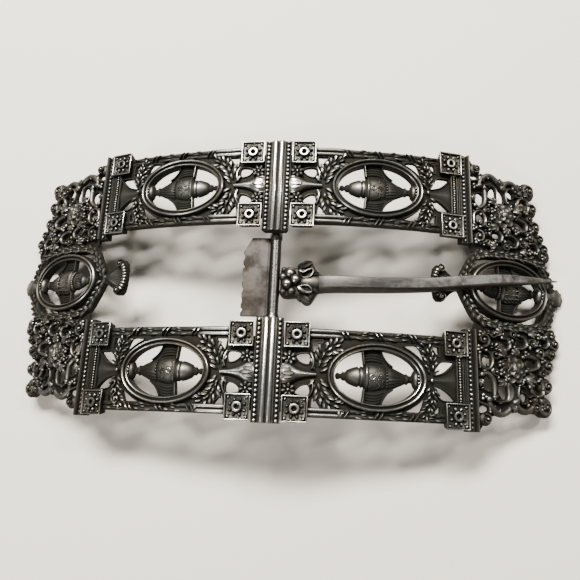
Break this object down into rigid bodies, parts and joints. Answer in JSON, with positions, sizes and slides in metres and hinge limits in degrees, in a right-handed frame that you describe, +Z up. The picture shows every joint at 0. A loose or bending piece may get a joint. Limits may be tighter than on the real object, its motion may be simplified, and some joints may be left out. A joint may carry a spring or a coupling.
{
  "type": "belt buckle",
  "caption": "Openwork belt buckle: an arched frame of ovals, urns and scrollwork, with a pointed tongue and strap plate that turn on a pin across the middle.",
  "frame": {"origin": "on the surface that the buckle lies on, under the middle of its frame", "axes": "+X along the buckle's length, towards the tip of its tongue; +Y across the belt; +Z up, out of its face"},
  "size_m": [0.1178, 0.0548, 0.0174],
  "materials": {
    "worn_silver": "cast silver, oxidised near black in its hollows and rubbed bright on its ribs and beads",
    "pin_silver": "drawn silver wire, dull",
    "smooth_silver": "filed and polished silver, grown dull, with a faint warm tarnish"
  },
  "bodies": {
    "frame": {"frame": "worn_silver", "hinge_pin": "pin_silver"},
    "tongue": {"tongue": "smooth_silver"}
  },
  "joints": [
    {"name": "tongue_hinge", "type": "hinge", "parent": "frame", "child": "tongue", "pos_m": [0, 0, 0.01379], "axis": [0, -1, 0], "range_deg": [0, 170]}
  ]
}
